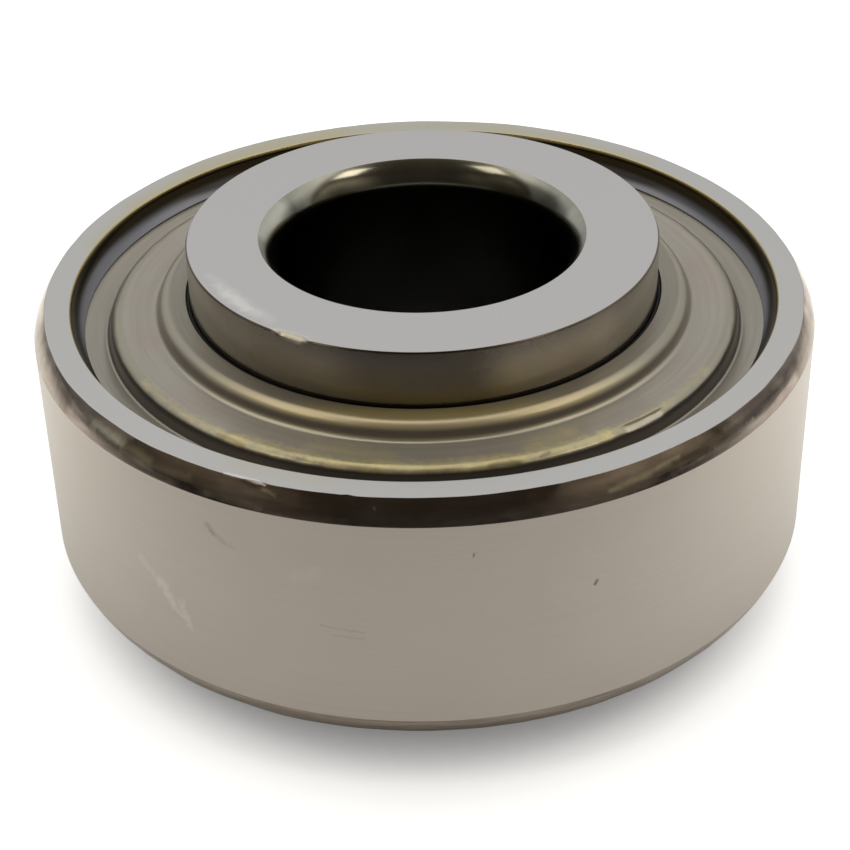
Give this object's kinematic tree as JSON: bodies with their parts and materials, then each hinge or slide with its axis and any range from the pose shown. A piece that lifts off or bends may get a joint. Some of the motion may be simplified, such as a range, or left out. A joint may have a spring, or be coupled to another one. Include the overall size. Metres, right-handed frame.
{
  "type": "insert bearing",
  "caption": "Sealed insert ball bearing with a wide inner ring, a plain cylindrical outer ring and stepped steel seal caps around a turning bore.",
  "frame": {"origin": "centre of the bearing, on its axis and midway between the ends of the inner ring", "axes": "+Z along the bearing axis; +X through ball_1"},
  "size_m": [0.04, 0.04, 0.0194],
  "materials": {
    "ring_steel": "ground and polished bearing steel",
    "ball_steel": "lapped bearing steel",
    "cage_steel": "plain pressed sheet steel, oiled",
    "rivet_steel": "soft steel rivets",
    "cap_steel": "pressed sheet steel with a faintly yellow zinc coat",
    "seal_rubber": "black nitrile rubber",
    "backing_steel": "plain sheet steel"
  },
  "bodies": {
    "outer_ring_assembly": {"outer_ring": "ring_steel", "upper_seal_cap": "cap_steel", "upper_rubber_lip": "seal_rubber", "upper_backing_washer": "backing_steel", "lower_seal_cap": "cap_steel", "lower_rubber_lip": "seal_rubber", "lower_backing_washer": "backing_steel"},
    "inner_ring": {"inner_ring": "ring_steel"},
    "cage": {"cage_upper_half": "cage_steel", "cage_lower_half": "cage_steel", "cage_rivets": "rivet_steel"},
    "ball_1_body": {"ball_1": "ball_steel"},
    "ball_2_body": {"ball_2": "ball_steel"},
    "ball_3_body": {"ball_3": "ball_steel"},
    "ball_4_body": {"ball_4": "ball_steel"},
    "ball_5_body": {"ball_5": "ball_steel"},
    "ball_6_body": {"ball_6": "ball_steel"},
    "ball_7_body": {"ball_7": "ball_steel"},
    "ball_8_body": {"ball_8": "ball_steel"}
  },
  "joints": [
    {"name": "inner_ring_spin", "type": "hinge", "parent": "outer_ring_assembly", "child": "inner_ring", "pos_m": [0, 0, 0], "axis": [0, 0, 1], "continuous": true},
    {"name": "cage_orbit", "type": "hinge", "parent": "outer_ring_assembly", "child": "cage", "pos_m": [0, 0, 0], "axis": [0, 0, 1], "continuous": true},
    {"name": "ball_1_roll", "type": "hinge", "parent": "cage", "child": "ball_1_body", "pos_m": [0.01425, 0, 0], "axis": [0, 0, 1], "continuous": true},
    {"name": "ball_2_roll", "type": "hinge", "parent": "cage", "child": "ball_2_body", "pos_m": [0.01008, 0.01008, 0], "axis": [0, 0, 1], "continuous": true},
    {"name": "ball_3_roll", "type": "hinge", "parent": "cage", "child": "ball_3_body", "pos_m": [0, 0.01425, 0], "axis": [0, 0, 1], "continuous": true},
    {"name": "ball_4_roll", "type": "hinge", "parent": "cage", "child": "ball_4_body", "pos_m": [-0.01008, 0.01008, 0], "axis": [0, 0, 1], "continuous": true},
    {"name": "ball_5_roll", "type": "hinge", "parent": "cage", "child": "ball_5_body", "pos_m": [-0.01425, 0, 0], "axis": [0, 0, 1], "continuous": true},
    {"name": "ball_6_roll", "type": "hinge", "parent": "cage", "child": "ball_6_body", "pos_m": [-0.01008, -0.01008, 0], "axis": [0, 0, 1], "continuous": true},
    {"name": "ball_7_roll", "type": "hinge", "parent": "cage", "child": "ball_7_body", "pos_m": [0, -0.01425, 0], "axis": [0, 0, 1], "continuous": true},
    {"name": "ball_8_roll", "type": "hinge", "parent": "cage", "child": "ball_8_body", "pos_m": [0.01008, -0.01008, 0], "axis": [0, 0, 1], "continuous": true}
  ],
  "couplings": [
    {"joint": "cage_orbit", "follows": "inner_ring_spin", "ratio": 0.38158},
    {"joint": "ball_1_roll", "follows": "inner_ring_spin", "ratio": -1.9927},
    {"joint": "ball_2_roll", "follows": "inner_ring_spin", "ratio": -1.9927},
    {"joint": "ball_3_roll", "follows": "inner_ring_spin", "ratio": -1.9927},
    {"joint": "ball_4_roll", "follows": "inner_ring_spin", "ratio": -1.9927},
    {"joint": "ball_5_roll", "follows": "inner_ring_spin", "ratio": -1.9927},
    {"joint": "ball_6_roll", "follows": "inner_ring_spin", "ratio": -1.9927},
    {"joint": "ball_7_roll", "follows": "inner_ring_spin", "ratio": -1.9927},
    {"joint": "ball_8_roll", "follows": "inner_ring_spin", "ratio": -1.9927}
  ]
}
